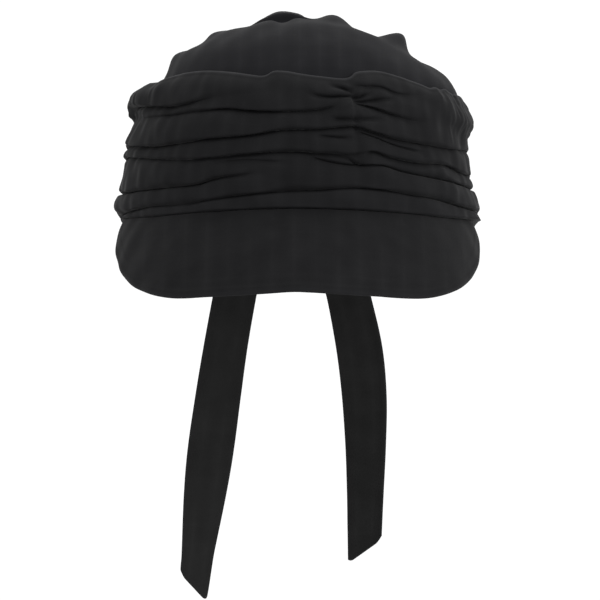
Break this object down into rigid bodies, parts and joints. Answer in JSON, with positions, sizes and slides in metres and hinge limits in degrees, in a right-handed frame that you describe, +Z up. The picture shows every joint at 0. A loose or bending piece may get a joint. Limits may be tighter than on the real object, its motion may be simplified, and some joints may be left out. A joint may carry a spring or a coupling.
{
  "type": "peaked head-wrap cap",
  "caption": "Soft peaked head-wrap cap: gathered crown, ruched cross-fold band, cloth-covered drooping peak and slant-ended cloth ties hanging from the nape.",
  "frame": {"origin": "middle of the head opening, level with the lower edge of the ruched band in front, where a head holds the cap", "axes": "+Z up, -Y to the front where the peak points, +X to the viewer's right when facing the cap"},
  "size_m": [0.1723, 0.2506, 0.2884],
  "materials": {
    "crown_cloth": "matte black cotton with a tone-on-tone stripe",
    "band_cloth": "matte black cotton with a tone-on-tone stripe, gathered",
    "peak_cloth": "matte black cotton with a tone-on-tone stripe, drawn smooth",
    "tie_cloth": "matte black cotton with stripes along the length"
  },
  "bodies": {
    "root": {"crown": "crown_cloth", "ruched_band": "band_cloth", "peak": "peak_cloth", "tie_left": "tie_cloth", "tie_right": "tie_cloth"}
  },
  "joints": []
}
